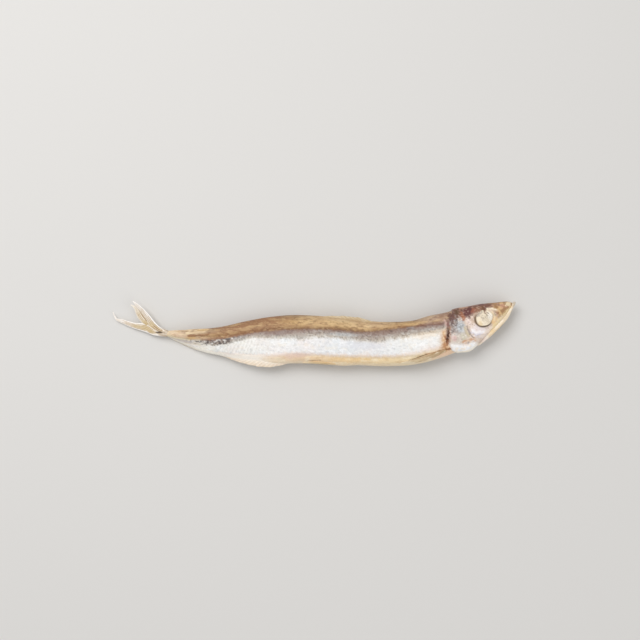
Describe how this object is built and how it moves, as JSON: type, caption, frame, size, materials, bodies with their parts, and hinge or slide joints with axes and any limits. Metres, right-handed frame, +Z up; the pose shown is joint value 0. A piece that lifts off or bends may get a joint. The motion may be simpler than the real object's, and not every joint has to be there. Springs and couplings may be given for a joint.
{
  "type": "dried capelin",
  "caption": "Whole dried capelin lying on its side: a slender, slightly bowed silver fish with a tan back, a pointed head, dried-down fins and a forked tail.",
  "frame": {"origin": "centre of the bounding box's bottom face, on the plane that the fish lies on", "axes": "+X along the fish from tail to head, +Y across it from belly to back, +Z up out of the flank that shows"},
  "size_m": [0.1664, 0.0274, 0.011],
  "materials": {
    "skin": "dried fish skin: matte tan back, satin silver flanks, cream belly and fins"
  },
  "bodies": {
    "root": {"capelin": "skin"}
  },
  "joints": []
}
